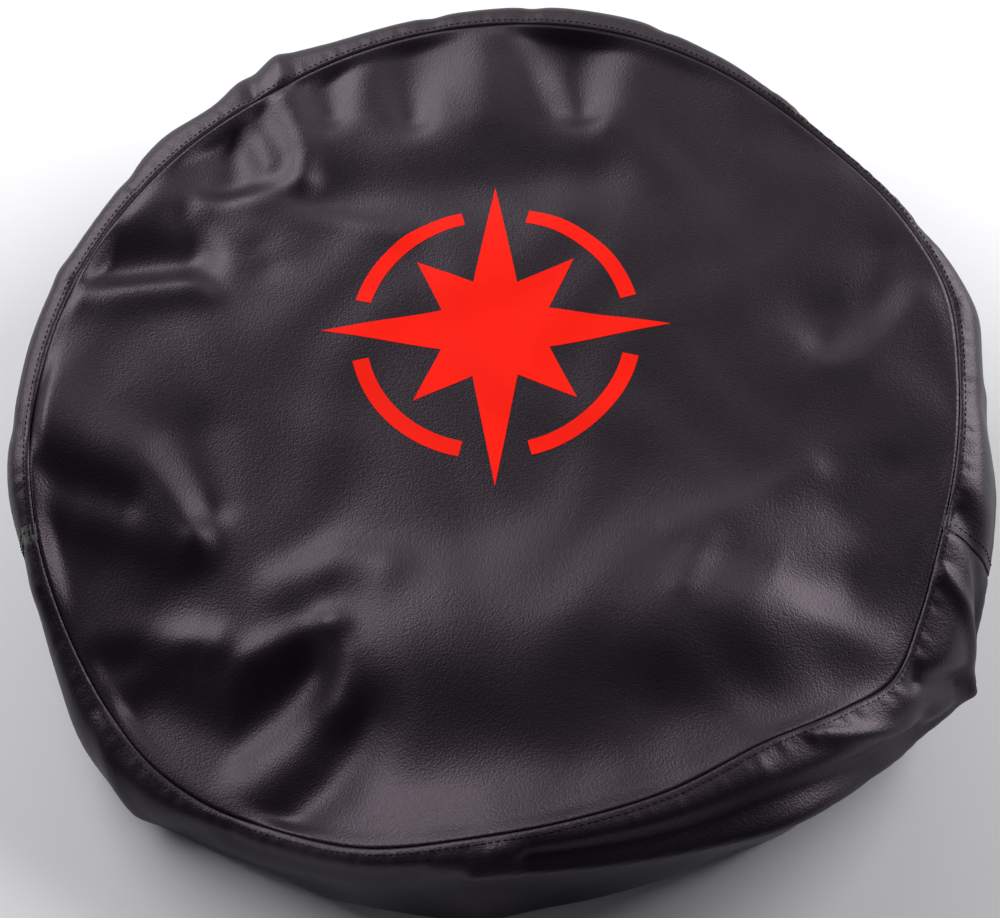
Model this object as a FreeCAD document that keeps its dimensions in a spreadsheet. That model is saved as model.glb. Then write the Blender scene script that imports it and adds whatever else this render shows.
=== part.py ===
"""Spare tyre cover, sewn from black coated leatherette, lying face up and empty on its rear opening.

A round face panel is sewn to a band, the gusset, that stands round it, turns under at the floor
and ends in a hem with an elastic band inside. The gusset is two lengths of leatherette joined at
the left and the right. Row frame: millimetres, +Z up out of the face, +Y towards the top of the
emblem, origin on the floor at the middle of the cover.
"""

import FreeCAD
import Part

import os

import Sketcher

# Alias, value in millimetres or degrees, and what it is. Every sub-part is bound to these cells.
DIMENSIONS = [
    ("outer_radius", 295.0, "outside of the gusset wall, over a 575 mm tyre with a little slack"),
    ("height", 118.0, "floor to the top of the face panel"),
    ("skin", 1.2, "thickness of the leatherette"),
    ("lay", 0.05, "space left between two layers that lie on each other"),
    ("seam_radius", 277.0, "seam between face panel and gusset"),
    ("fold_gap", 0.2, "space inside the gusset's fold at the seam"),
    ("face_bend", 1.5, "outside radius where the face panel turns down into the seam"),
    ("allowance", 8.0, "width of the seam allowances, turned outwards under the gusset"),
    ("shoulder", 10.0, "outside radius where the gusset turns down"),
    ("floor_roll", 16.0, "outside radius where the gusset turns under"),
    ("opening_radius", 200.0, "edge of the relaxed rear opening"),
    ("tunnel_height", 4.0, "space inside the hem for the elastic"),
    ("tunnel_end", 11.0, "opening edge to where the hem starts to close"),
    ("hem_closed", 15.0, "opening edge to where the hem lies flat"),
    ("hem_width", 21.0, "opening edge to the raw edge of the hem"),
    ("hem_stitch", 18.0, "opening edge to the row of stitches"),
    ("groove_width", 0.8, "groove that the hem stitches pull into the leatherette"),
    ("groove_depth", 0.65, "depth of that groove"),
    ("thread", 0.6, "diameter of the sewing thread"),
    ("thread_lift", 0.02, "space between a thread and the skin under it"),
    ("topstitch", 5.0, "seam to the row of topstitching on the gusset"),
    ("seam_thread_depth", 0.42, "face to the middle of the thread down in the seam"),
    ("seam_thread_inset", 0.09, "seam to the middle of that thread"),
    ("join_right", -20.5, "angle of the right join of the gusset"),
    ("join_left", 199.5, "angle of the left join of the gusset"),
    ("lap_angle", 1.5, "angle of the lap at a join, each side of it"),
    ("join_stitch_angle", 0.8, "angle from a join to its row of stitches"),
    ("elastic_width", 6.5, "width of the elastic"),
    ("elastic_skin", 1.5, "thickness of the elastic"),
    ("elastic_inset", 3.4, "opening edge to the inner edge of the elastic"),
    ("elastic_rest", 0.3, "gusset to the underside of the elastic"),
    ("elastic_lap", 7.0, "angle over which the elastic's two ends overlap"),
    ("tack", 0.25, "thickness of the thread loops that hold the elastic's ends"),
    ("tack_width", 0.5, "width of one loop"),
    ("tack_span", 4.0, "angle from the first loop to the last"),
    ("emblem_y", 44.0, "middle of the emblem, above the middle of the face"),
    ("film", 0.15, "thickness of the emblem's film"),
    ("star_long", 108.0, "reach of the emblem's four long rays"),
    ("star_short", 70.0, "reach of its four short rays"),
    ("star_waist", 36.0, "radius of the corners between the rays"),
    ("ring_inside", 80.0, "inside radius of the emblem's broken ring"),
    ("ring_outside", 90.0, "outside radius of that ring"),
    ("ring_start", 14.0, "angle from a long ray to the start of a ring piece"),
]

doc = FreeCAD.newDocument("TyreCover")
size = doc.addObject("Spreadsheet::Sheet", "size")
for row, (alias, value, meaning) in enumerate(DIMENSIONS, 1):
    size.set(f"A{row}", alias)
    size.set(f"B{row}", str(value))
    size.set(f"C{row}", meaning)
    size.setAlias(f"B{row}", alias)
doc.recompute()


def number(expression):
    """What an expression over the sheet's cells comes to, in millimetres or degrees."""
    value = size.evalExpression(expression)
    return float(getattr(value, "Value", value))


def new_body(label):
    """An empty body. It may hold several solids, as a row of like pieces does."""
    body = doc.addObject("PartDesign::Body", label)
    body.Label = label
    body.AllowCompound = True
    return body


def new_sketch(body, name, role, offset="0"):
    """A sketch on one of the body's own origin planes, lifted off it by an expression."""
    plane = next(f for f in body.Origin.OriginFeatures if f.Role == role)
    sketch = body.newObject("Sketcher::SketchObject", f"{body.Label}_{name}")
    sketch.AttachmentSupport = [(plane, "")]
    sketch.MapMode = "FlatFace"
    sketch.setExpression("AttachmentOffset.Base.z", offset)
    doc.recompute()
    return sketch


def hold(sketch, geometry, point, kind, expression):
    """Holds one coordinate of a point at an expression's value."""
    value = number(expression)
    if abs(value) < 1e-9:
        axis = -2 if kind == "DistanceX" else -1
        sketch.addConstraint(Sketcher.Constraint("PointOnObject", geometry, point, axis))
        return
    index = sketch.addConstraint(Sketcher.Constraint(kind, -1, 1, geometry, point, value))
    name = f"{kind[-1].lower()}{index}"
    sketch.renameConstraint(index, name)
    sketch.setExpression(f"Constraints.{name}", expression)


def draw(sketch, steps, closed=True):
    """Draws an outline from steps, each a tuple of expressions.

    (x, y) is a corner that a straight run leads to. (x, y, centre x, centre y, "cw" or "ccw") is the
    end of an arc about that centre. A closed outline ends with the run that leads to its first step.
    """
    ends = steps[1:] + steps[:1] if closed else steps[1:]
    edges = []
    start = FreeCAD.Vector(number(steps[0][0]), number(steps[0][1]), 0)
    for step in ends:
        end = FreeCAD.Vector(number(step[0]), number(step[1]), 0)
        if len(step) == 2:
            edges.append((sketch.addGeometry(Part.LineSegment(start, end)), 1, 2))
        else:
            centre = FreeCAD.Vector(number(step[2]), number(step[3]), 0)
            low, high = (start, end) if step[4] == "ccw" else (end, start)
            circle = Part.Circle(centre, FreeCAD.Vector(0, 0, 1), (start - centre).Length)
            arc = Part.ArcOfCircle(circle, circle.parameter(low), circle.parameter(high))
            first, last = (1, 2) if step[4] == "ccw" else (2, 1)
            edges.append((sketch.addGeometry(arc), first, last))
        start = end
    for (edge, _, last), (following, first, _) in zip(edges, edges[1:]):
        sketch.addConstraint(Sketcher.Constraint("Coincident", edge, last, following, first))
    hold(sketch, edges[0][0], edges[0][1], "DistanceX", steps[0][0])
    hold(sketch, edges[0][0], edges[0][1], "DistanceY", steps[0][1])
    for (edge, _, last), step in zip(edges, steps[1:]):
        if len(step) == 2:
            hold(sketch, edge, last, "DistanceX", step[0])
            hold(sketch, edge, last, "DistanceY", step[1])
            continue
        hold(sketch, edge, 3, "DistanceX", step[2])
        hold(sketch, edge, 3, "DistanceY", step[3])
        across = abs(number(step[0]) - number(step[2]))
        up = abs(number(step[1]) - number(step[3]))
        # The start and the centre fix the radius, so only one coordinate of the end is left free.
        if across < up:
            hold(sketch, edge, last, "DistanceX", step[0])
        else:
            hold(sketch, edge, last, "DistanceY", step[1])
    if not closed:
        return
    edge, first, last = edges[-1]
    sketch.addConstraint(Sketcher.Constraint("Coincident", edge, last, edges[0][0], edges[0][1]))
    if len(steps[0]) > 2:
        across = abs(number(steps[0][0]) - number(steps[-1][0]))
        up = abs(number(steps[0][1]) - number(steps[-1][1]))
        # Both ends of a closing arc are fixed, so its centre can only move square to its chord.
        if across < up:
            hold(sketch, edge, 3, "DistanceX", steps[0][2])
        else:
            hold(sketch, edge, 3, "DistanceY", steps[0][3])


def revolve(body, name, steps, sweep="360", start="0"):
    """Turns a profile of radius and height about the body's Z axis, from one angle over another."""
    sketch = new_sketch(body, f"{name}_profile", "XZ_Plane")
    sketch.AttachmentOffset = FreeCAD.Placement(
        FreeCAD.Vector(), FreeCAD.Rotation(FreeCAD.Vector(0, 1, 0), number(start)))
    if start != "0":
        sketch.setExpression("AttachmentOffset.Rotation.Angle", start)
    draw(sketch, steps)
    doc.recompute()
    feature = body.newObject("PartDesign::Revolution", f"{body.Label}_{name}")
    feature.Profile = sketch
    feature.ReferenceAxis = (sketch, ["V_Axis"])
    feature.setExpression("Angle", sweep)
    doc.recompute()
    return feature


def pad(body, name, sketch, length, midplane=False):
    """Pads a finished sketch."""
    feature = body.newObject("PartDesign::Pad", f"{body.Label}_{name}")
    feature.Profile = sketch
    feature.setExpression("Length", length)
    feature.Midplane = midplane
    doc.recompute()
    return feature


def pattern(body, feature, count, span):
    """Repeats a feature round the body's Z axis."""
    axis = next(f for f in body.Origin.OriginFeatures if f.Role == "Z_Axis")
    repeat = body.newObject("PartDesign::PolarPattern", f"{body.Label}_pattern")
    repeat.Originals = [feature]
    repeat.Axis = (axis, [""])
    repeat.setExpression("Angle", span)
    repeat.Occurrences = count
    body.Tip = repeat
    doc.recompute()


def turn(part, angle):
    """Turns a whole sub-part about Z to its angle on the cover."""
    part.Placement = FreeCAD.Placement(
        FreeCAD.Vector(), FreeCAD.Rotation(FreeCAD.Vector(0, 0, 1), number(angle)))
    part.setExpression("Placement.Rotation.Angle", angle)


# Heights of the layers at the seam, from the face down: gusset, its turned-back edge, face edge.
FACE_TOP = "size.height"
FACE_UNDER = "size.height - size.skin"
TURNED_TOP = "size.height - size.skin - size.fold_gap"
TURNED_UNDER = "size.height - 2 * size.skin - size.fold_gap"
FLAP_TOP = "size.height - 2 * size.skin - size.fold_gap - size.lay"
FLAP_UNDER = "size.height - 3 * size.skin - size.fold_gap - size.lay"
ALLOWANCE_END = "size.seam_radius + size.allowance"


def face_panel():
    """The disc of the face. Its edge turns down at the seam and runs out under the gusset."""
    edge = "size.seam_radius - size.lay"
    flat_end = f"{edge} - size.face_bend"
    bend_height = "size.height - size.face_bend"
    inner = f"{edge} - size.skin"
    revolve(new_body("face_panel"), "disc", [
        ("0", FACE_TOP),
        (flat_end, FACE_TOP),
        (edge, bend_height, flat_end, bend_height, "cw"),
        (edge, FLAP_TOP),
        (ALLOWANCE_END, FLAP_TOP),
        (ALLOWANCE_END, FLAP_UNDER),
        (inner, FLAP_UNDER),
        (inner, bend_height),
        (flat_end, FACE_UNDER, flat_end, bend_height, "ccw"),
        ("0", FACE_UNDER),
    ])


def gusset_profile():
    """Section of the gusset: folded at the seam, over the shoulder, down, under, and into its hem."""
    fold = "(size.skin + size.fold_gap / 2)"
    fold_middle = f"size.seam_radius + {fold}"
    fold_height = f"size.height - {fold}"
    shoulder_x = "size.outer_radius - size.shoulder"
    shoulder_z = "size.height - size.shoulder"
    roll_x = "size.outer_radius - size.floor_roll"
    wall_inside = "size.outer_radius - size.skin"
    hem_bend = "(size.skin + size.tunnel_height / 2)"
    hem_x = f"size.opening_radius + {hem_bend}"
    hem_top = "2 * size.skin + size.tunnel_height"
    tunnel_top = "size.skin + size.tunnel_height"
    tunnel_end = "size.opening_radius + size.tunnel_end"
    hem_closed = "size.opening_radius + size.hem_closed"
    raw_edge = "size.opening_radius + size.hem_width"
    groove_in = "size.opening_radius + size.hem_stitch - size.groove_width / 2"
    groove_out = "size.opening_radius + size.hem_stitch + size.groove_width / 2"
    return [
        (fold_middle, FACE_TOP, fold_middle, fold_height, "cw"),
        (shoulder_x, FACE_TOP),
        ("size.outer_radius", shoulder_z, shoulder_x, shoulder_z, "cw"),
        ("size.outer_radius", "size.floor_roll"),
        (roll_x, "0", roll_x, "size.floor_roll", "cw"),
        (groove_out, "0"),
        (groove_out, "size.groove_depth"),
        (groove_in, "size.groove_depth"),
        (groove_in, "0"),
        (hem_x, "0"),
        (hem_x, hem_top, hem_x, hem_bend, "cw"),
        (tunnel_end, hem_top),
        (hem_closed, "2 * size.skin + size.lay"),
        (raw_edge, "2 * size.skin + size.lay"),
        (raw_edge, "size.skin + size.lay"),
        (f"{hem_closed} - size.fold_gap * 2", "size.skin + size.lay"),
        (f"{tunnel_end} - size.fold_gap * 2", tunnel_top),
        (hem_x, tunnel_top),
        (hem_x, "size.skin", hem_x, hem_bend, "ccw"),
        (roll_x, "size.skin"),
        (wall_inside, "size.floor_roll", roll_x, "size.floor_roll", "ccw"),
        (wall_inside, shoulder_z),
        (shoulder_x, FACE_UNDER, shoulder_x, shoulder_z, "ccw"),
        (fold_middle, FACE_UNDER),
        (fold_middle, TURNED_TOP, fold_middle, fold_height, "ccw"),
        (ALLOWANCE_END, TURNED_TOP),
        (ALLOWANCE_END, TURNED_UNDER),
        (fold_middle, TURNED_UNDER),
    ]


def gusset_upper():
    """The longer length of the gusset, over the top of the emblem."""
    body = new_body("gusset_upper")
    revolve(body, "band", gusset_profile(), "size.join_left - size.join_right")
    turn(body, "size.join_right")


def lap_section(outside):
    """Section of a lap, one layer thick, between the shoulder and the roll under."""
    inside = "size.outer_radius - 2 * size.skin - size.lay"
    top = "size.height - size.shoulder"
    return [(inside, "size.floor_roll"), (outside, "size.floor_roll"), (outside, top), (inside, top)]


def gusset_lower():
    """The shorter length. At each join its wall steps in and laps behind the longer one."""
    sweep = "360 - size.join_left + size.join_right"
    tab = lap_section("size.outer_radius - size.skin - size.lay")
    root = lap_section("size.outer_radius - size.skin / 2")
    body = new_body("gusset_lower")
    revolve(body, "band", gusset_profile(), sweep)
    revolve(body, "right_tab", tab, "2 * size.lap_angle", f"{sweep} - size.lap_angle")
    revolve(body, "right_root", root, "size.lap_angle", f"{sweep} - size.lap_angle")
    revolve(body, "left_tab", tab, "2 * size.lap_angle", "360 - size.lap_angle")
    revolve(body, "left_root", root, "size.lap_angle", "0")
    turn(body, "size.join_left")


def thread_ring(label, radius, height):
    """A row of stitches all round the cover, as one ring of thread."""
    ring = doc.addObject("Part::Torus", label)
    ring.Label = label
    ring.setExpression("Radius1", radius)
    ring.setExpression("Radius2", "size.thread / 2")
    ring.setExpression("Placement.Base.z", height)


def thread_rings():
    """The seam's own thread, its topstitching above and below, and the hem's two threads."""
    above = "size.thread / 2 + size.thread_lift"
    thread_ring("face_seam_thread", "size.seam_radius - size.seam_thread_inset",
                f"{FACE_TOP} - size.seam_thread_depth")
    row = "size.seam_radius + size.topstitch"
    thread_ring("face_topstitch_needle_thread", row, f"{FACE_TOP} + {above}")
    thread_ring("face_topstitch_bobbin_thread", row, f"{FLAP_UNDER} - {above}")
    hem = "size.opening_radius + size.hem_stitch"
    thread_ring("hem_needle_thread", hem, "size.thread / 2")
    thread_ring("hem_bobbin_thread", hem, f"2 * size.skin + size.lay + {above}")


def join_needle_thread(label, angle):
    """The row of stitches at a join, over the shoulder and down the wall to near the floor."""
    lift = "(size.thread / 2 + size.thread_lift)"
    shoulder_x = "size.outer_radius - size.shoulder"
    shoulder_z = "size.height - size.shoulder"
    roll_x = "size.outer_radius - size.floor_roll"
    start = "size.seam_radius + size.topstitch + 2 * size.thread"
    outside = f"size.outer_radius + {lift}"
    body = new_body(label)
    spine = new_sketch(body, "spine", "XZ_Plane")
    draw(spine, [
        (start, f"{FACE_TOP} + {lift}"),
        (shoulder_x, f"{FACE_TOP} + {lift}"),
        (outside, shoulder_z, shoulder_x, shoulder_z, "cw"),
        (outside, "size.floor_roll"),
        (f"{roll_x} + (size.floor_roll + {lift}) / 2",
         f"size.floor_roll - (size.floor_roll + {lift}) * sqrt(3) / 2",
         roll_x, "size.floor_roll", "cw"),
    ], closed=False)
    section = new_sketch(body, "section", "YZ_Plane", start)
    circle = section.addGeometry(Part.Circle(FreeCAD.Vector(0, number(f"{FACE_TOP} + {lift}"), 0),
                                             FreeCAD.Vector(0, 0, 1), number("size.thread / 2")))
    hold(section, circle, 3, "DistanceX", "0")
    hold(section, circle, 3, "DistanceY", f"{FACE_TOP} + {lift}")
    radius = section.addConstraint(Sketcher.Constraint("Radius", circle, number("size.thread / 2")))
    section.renameConstraint(radius, "radius")
    section.setExpression("Constraints.radius", "size.thread / 2")
    doc.recompute()
    pipe = body.newObject("PartDesign::AdditivePipe", f"{label}_pipe")
    pipe.Profile = section
    pipe.Spine = (spine, [""])
    doc.recompute()
    turn(body, angle)


def join_bobbin_thread(label, angle):
    """The thread of the same row on the inside, down the back of the lap."""
    radius = "(size.outer_radius - 2 * size.skin - size.lay - size.thread / 2 - size.thread_lift)"
    cord = doc.addObject("Part::Cylinder", label)
    cord.Label = label
    cord.setExpression("Radius", "size.thread / 2")
    cord.setExpression("Height", "size.height - size.shoulder - size.floor_roll")
    cord.setExpression("Placement.Base.x", f"{radius} * cos(({angle}) * 1 deg)")
    cord.setExpression("Placement.Base.y", f"{radius} * sin(({angle}) * 1 deg)")
    cord.setExpression("Placement.Base.z", "size.floor_roll")


def elastic_band():
    """The flat elastic inside the hem, with one end lying on the other."""
    body = new_body("elastic_band")
    inside = "size.opening_radius + size.elastic_inset"
    outside = f"{inside} + size.elastic_width"
    under = "size.skin + size.elastic_rest"
    middle = f"{under} + size.elastic_skin"
    revolve(body, "loop", [(inside, under), (outside, under), (outside, middle), (inside, middle)])
    top = f"{middle} + size.elastic_skin"
    revolve(body, "lapped_end", [(inside, middle), (outside, middle), (outside, top), (inside, top)],
            "size.elastic_lap")
    turn(body, "270 - size.elastic_lap / 2")


def elastic_tack_thread():
    """Three loops of thread round both ends of the elastic."""
    body = new_body("elastic_tack_thread")
    inside = "size.opening_radius + size.elastic_inset"
    under = "size.skin + size.elastic_rest"
    sketch = new_sketch(body, "loop", "XZ_Plane")
    for grow in ("size.tack", "size.thread_lift"):
        left = f"{inside} - {grow}"
        right = f"{inside} + size.elastic_width + {grow}"
        low = f"{under} - {grow}"
        high = f"{under} + 2 * size.elastic_skin + {grow}"
        draw(sketch, [(left, low), (right, low), (right, high), (left, high)])
    doc.recompute()
    loop = pad(body, "pad", sketch, "size.tack_width", midplane=True)
    pattern(body, loop, 3, "size.tack_span")
    turn(body, "270 - size.tack_span / 2")


def emblem_star():
    """Printed film: an eight-pointed compass star."""
    body = new_body("emblem_star")
    sketch = new_sketch(body, "outline", "XY_Plane", FACE_TOP)
    reaches = ["size.star_long", "size.star_waist", "size.star_short", "size.star_waist"] * 4
    draw(sketch, [(f"{reach} * cos({22.5 * k} deg)", f"{reach} * sin({22.5 * k} deg)")
                  for k, reach in enumerate(reaches)])
    doc.recompute()
    pad(body, "film", sketch, "size.film")
    body.setExpression("Placement.Base.y", "size.emblem_y")


def emblem_ring():
    """Printed film: the four pieces of a ring that the star's long rays break."""
    body = new_body("emblem_ring")
    sketch = new_sketch(body, "outline", "XY_Plane", FACE_TOP)
    low = "(size.ring_start * 1 deg)"
    high = "(90 deg - size.ring_start * 1 deg)"
    draw(sketch, [
        (f"size.ring_inside * cos{low}", f"size.ring_inside * sin{low}", "0", "0", "cw"),
        (f"size.ring_outside * cos{low}", f"size.ring_outside * sin{low}"),
        (f"size.ring_outside * cos{high}", f"size.ring_outside * sin{high}", "0", "0", "ccw"),
        (f"size.ring_inside * cos{high}", f"size.ring_inside * sin{high}"),
    ])
    doc.recompute()
    piece = pad(body, "film", sketch, "size.film")
    pattern(body, piece, 4, "360")
    body.setExpression("Placement.Base.y", "size.emblem_y")


def write_parts():
    """Checks every object and writes one STEP file for each sub-part."""
    doc.recompute()
    for item in doc.Objects:
        bad = {"Invalid", "Error"} & set(item.State)
        if bad:
            raise SystemExit(f"{item.Label} is {', '.join(sorted(bad))}")
    kinds = ("PartDesign::Body", "Part::Torus", "Part::Cylinder")
    parts = [item for item in doc.Objects if item.TypeId in kinds]
    os.makedirs("parts", exist_ok=True)
    for part in parts:
        if part.Shape.isNull() or not part.Shape.isValid() or not part.Shape.Solids:
            raise SystemExit(f"{part.Label} has no valid solid")
        part.Shape.exportStep(os.path.join("parts", f"{part.Label}.step"))
        box = part.Shape.BoundBox
        print(f"{part.Label}: {len(part.Shape.Solids)} solid(s), {part.Shape.Volume:.1f} mm3, "
              f"z {box.ZMin:.2f} to {box.ZMax:.2f}")


face_panel()
gusset_upper()
gusset_lower()
thread_rings()
for side in ("left", "right"):
    # Both rows lie on the longer length's side of the join, through both layers of the lap.
    sign = "-" if side == "left" else "+"
    row_angle = f"size.join_{side} {sign} size.join_stitch_angle"
    join_needle_thread(f"join_{side}_needle_thread", row_angle)
    join_bobbin_thread(f"join_{side}_bobbin_thread", row_angle)
elastic_band()
elastic_tack_thread()
emblem_star()
emblem_ring()
write_parts()
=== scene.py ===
import math

import bmesh
import bpy
import numpy as np
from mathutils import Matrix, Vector
from mathutils.bvhtree import BVHTree


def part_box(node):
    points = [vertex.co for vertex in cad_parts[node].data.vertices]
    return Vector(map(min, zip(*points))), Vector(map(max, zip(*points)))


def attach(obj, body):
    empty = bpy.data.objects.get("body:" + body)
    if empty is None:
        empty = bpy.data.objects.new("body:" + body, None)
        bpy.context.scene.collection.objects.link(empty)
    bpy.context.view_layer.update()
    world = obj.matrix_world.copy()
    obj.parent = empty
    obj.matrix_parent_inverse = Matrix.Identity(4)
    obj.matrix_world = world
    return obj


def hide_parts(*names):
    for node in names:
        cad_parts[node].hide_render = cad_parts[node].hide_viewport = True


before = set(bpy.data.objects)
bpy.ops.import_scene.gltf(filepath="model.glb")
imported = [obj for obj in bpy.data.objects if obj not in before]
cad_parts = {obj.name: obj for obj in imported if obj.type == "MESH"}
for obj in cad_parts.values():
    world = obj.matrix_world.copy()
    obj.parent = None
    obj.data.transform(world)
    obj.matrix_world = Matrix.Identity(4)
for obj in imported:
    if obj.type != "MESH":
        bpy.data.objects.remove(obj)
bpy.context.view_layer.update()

MM = 0.001


# The cover off its wheel. It's sewn round, as the CAD has it, but lies slack on the floor on its hem.
# The rim is what holds it up: the seam, with four layers of leatherette in it, keeps a fair line, and
# the gusset outside it rolls over, drops to the floor and tucks under.
SEAM_RADIUS = (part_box("face_seam_thread")[1][0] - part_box("face_seam_thread")[0][0]) / 2
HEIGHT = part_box("face_panel")[1][2]

# Round the rim from the right, by the back, the left and the front: clock angle in degrees, then in
# millimetres how far the seam stands out of its sewn circle, how far it has sunk, how far the roll
# stands out of the seam and hangs below it, and how far the foot of the wall stands out of the seam.
RIM = [
    (0, -3, 10, 21, 30, 15),
    (12, 3, 8, 21, 28, 13),
    (24, 1, 9, 11.5, 21, 9),
    (40, -4, 11, 8.5, 17, 7),
    (60, -3, 8, 20, 18, 9),
    (72, -2, 8, 25, 16, 11),
    (95, -3, 14, 23, 14, 12),
    (112, -6, 19, 25, 15, 15),
    (123, -9, 21, 34, 14, 18),
    (130, -10, 21, 24, 15, 17),
    (139, -10, 21, 26, 15, 16),
    (150, -10, 20, 20, 18, 13),
    (165, -8, 20, 19, 18, 15),
    (180, -5, 20, 17, 20, 13),
    (192, -1, 21, 18, 25, 13),
    (202, 4, 36, 12, 27, 11),
    (212, 8, 56, 17, 28, 12),
    (222, 12, 68, 23, 28, 15),
    (229, 14, 70, 22, 32, 17),
    (236, 12, 70, 15, 24, 14),
    (245, 7, 60, 15, 20, 14),
    (256, 6, 34, 14, 16, 14),
    (267, -1, 13, 16, 13, 19),
    (278, -6, 5, 20, 15, 19),
    (290, -9, 5, 28, 20, 20),
    (303, -10, 7, 40, 30, 29),
    (313, 0, 18, 31, 38, 23),
    (320, 8, 27, 26, 43, 19),
    (328, 2, 25, 39, 57, 33),
    (336, -4, 18, 36, 48, 28),
    (347, -6, 11, 29, 35, 22),
]
ANGLES = 1080
CLOCK = np.arange(ANGLES) * 2 * math.pi / ANGLES


def round_the_rim(column):
    """One column of RIM at every angle, on a smooth closed curve, in metres."""
    angle = np.array([row[0] for row in RIM], float)
    value = np.array([row[column] for row in RIM], float)
    turns = np.concatenate([angle - 360, angle, angle + 360])
    values = np.tile(value, 3)
    slope = np.gradient(values, turns)
    at = np.degrees(CLOCK)
    i = np.searchsorted(turns, at, side="right") - 1
    step = turns[i + 1] - turns[i]
    t = (at - turns[i]) / step
    rise = (3 - 2 * t) * t * t
    bend = t * (1 - t) ** 2 * slope[i] - t * t * (1 - t) * slope[i + 1]
    return (values[i] + rise * (values[i + 1] - values[i]) + step * bend) * MM


seam_out = SEAM_RADIUS + round_the_rim(1)
seam_up = HEIGHT - round_the_rim(2)
roll_out = seam_out + round_the_rim(3)
roll_up = seam_up - round_the_rim(4)
foot_out = seam_out + round_the_rim(5)


# Black leatherette: a coat of soft vinyl, embossed with a fine pebble grain, on a knitted backing. It is
# semi-matt, with slow patches that are a little duller from handling.
def new_material(name):
    """A material with its shader and a place to hang nodes on."""
    material = bpy.data.materials.new(name)
    material.use_nodes = True
    nodes = material.node_tree.nodes
    return material, nodes, material.node_tree.links, nodes["Principled BSDF"]


def new_group(name, inputs, outputs):
    """An empty shader node group with the named sockets."""
    group = bpy.data.node_groups.new(name, "ShaderNodeTree")
    for label, value in inputs:
        socket = group.interface.new_socket(label, in_out="INPUT", socket_type="NodeSocketFloat")
        socket.default_value = value
    for label, kind in outputs:
        group.interface.new_socket(label, in_out="OUTPUT", socket_type=kind)
    return group, group.nodes.new("NodeGroupInput"), group.nodes.new("NodeGroupOutput")


def maths(tree, operation, first, second=None, clamp=False):
    """A Math node fed with sockets or numbers."""
    node = tree.nodes.new("ShaderNodeMath")
    node.operation = operation
    node.use_clamp = clamp
    for socket, value in zip(node.inputs, (first, second)):
        if value is None:
            continue
        if isinstance(value, (int, float)):
            socket.default_value = value
        else:
            tree.links.new(value, socket)
    return node.outputs[0]


def noise(tree, where, scale, detail=2.0, rough=0.5):
    """Noise of about -1 to 1 round 0, at a scale in features per metre."""
    node = tree.nodes.new("ShaderNodeTexNoise")
    node.inputs["Scale"].default_value = scale
    node.inputs["Detail"].default_value = detail
    node.inputs["Roughness"].default_value = rough
    tree.links.new(where, node.inputs["Vector"])
    return maths(tree, "MULTIPLY", maths(tree, "SUBTRACT", node.outputs["Fac"], 0.5), 2.0)


def pebble_grain():
    """Embossed pebbles with fine lines between them, pits, and slow patches of wear."""
    group, given, out = new_group(
        "PebbleGrain", [("Pebbles per metre", 800.0)],
        [("Height", "NodeSocketFloat"), ("Patches", "NodeSocketFloat"), ("Dust", "NodeSocketFloat")])
    where = group.nodes.new("ShaderNodeTexCoord").outputs["Object"]
    warp = group.nodes.new("ShaderNodeTexNoise")
    warp.inputs["Scale"].default_value = 260.0
    warp.inputs["Detail"].default_value = 1.0
    group.links.new(where, warp.inputs["Vector"])
    bent = group.nodes.new("ShaderNodeMix")
    bent.data_type = "VECTOR"
    bent.inputs["Factor"].default_value = 0.0012
    group.links.new(where, bent.inputs[4])
    group.links.new(warp.outputs["Color"], bent.inputs[5])
    pebbles = group.nodes.new("ShaderNodeTexVoronoi")
    pebbles.feature = "SMOOTH_F1"
    pebbles.inputs["Smoothness"].default_value = 0.35
    group.links.new(bent.outputs[1], pebbles.inputs["Vector"])
    group.links.new(given.outputs[0], pebbles.inputs["Scale"])
    dome = maths(group, "SUBTRACT", 1.0, pebbles.outputs["Distance"])
    pores = noise(group, where, 2600.0, 2.0)
    height = maths(group, "ADD", dome, maths(group, "MULTIPLY", pores, 0.18))
    group.links.new(height, out.inputs["Height"])
    group.links.new(noise(group, where, 14.0, 4.0), out.inputs["Patches"])
    specks = noise(group, where, 900.0, 0.0)
    few = maths(group, "MULTIPLY", maths(group, "SUBTRACT", specks, 0.62), 9.0, clamp=True)
    thin = maths(group, "ADD", noise(group, where, 9.0, 3.0), 0.15, clamp=True)
    group.links.new(maths(group, "MULTIPLY", few, thin), out.inputs["Dust"])
    return group


grain_group = pebble_grain()


def leatherette_skin():
    """The coated outside."""
    material, nodes, links, shader = new_material("leatherette_skin")
    tree = material.node_tree
    grain = nodes.new("ShaderNodeGroup")
    grain.node_tree = grain_group
    colour = nodes.new("ShaderNodeMix")
    colour.data_type = "RGBA"
    colour.inputs[6].default_value = (0.0040, 0.0024, 0.0036, 1)
    colour.inputs[7].default_value = (0.12, 0.115, 0.115, 1)
    links.new(maths(tree, "MULTIPLY", grain.outputs["Dust"], 0.5), colour.inputs["Factor"])
    links.new(colour.outputs[2], shader.inputs["Base Color"])
    rough = maths(tree, "ADD", maths(tree, "MULTIPLY", grain.outputs["Patches"], 0.07), 0.45)
    links.new(rough, shader.inputs["Roughness"])
    bump = nodes.new("ShaderNodeBump")
    bump.inputs["Distance"].default_value = 0.17 * MM
    bump.inputs["Strength"].default_value = 0.9
    links.new(grain.outputs["Height"], bump.inputs["Height"])
    links.new(bump.outputs["Normal"], shader.inputs["Normal"])
    shader.inputs["Specular IOR Level"].default_value = 0.34
    shader.inputs["Specular Tint"].default_value = (0.99, 0.79, 0.97, 1)
    return material


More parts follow.
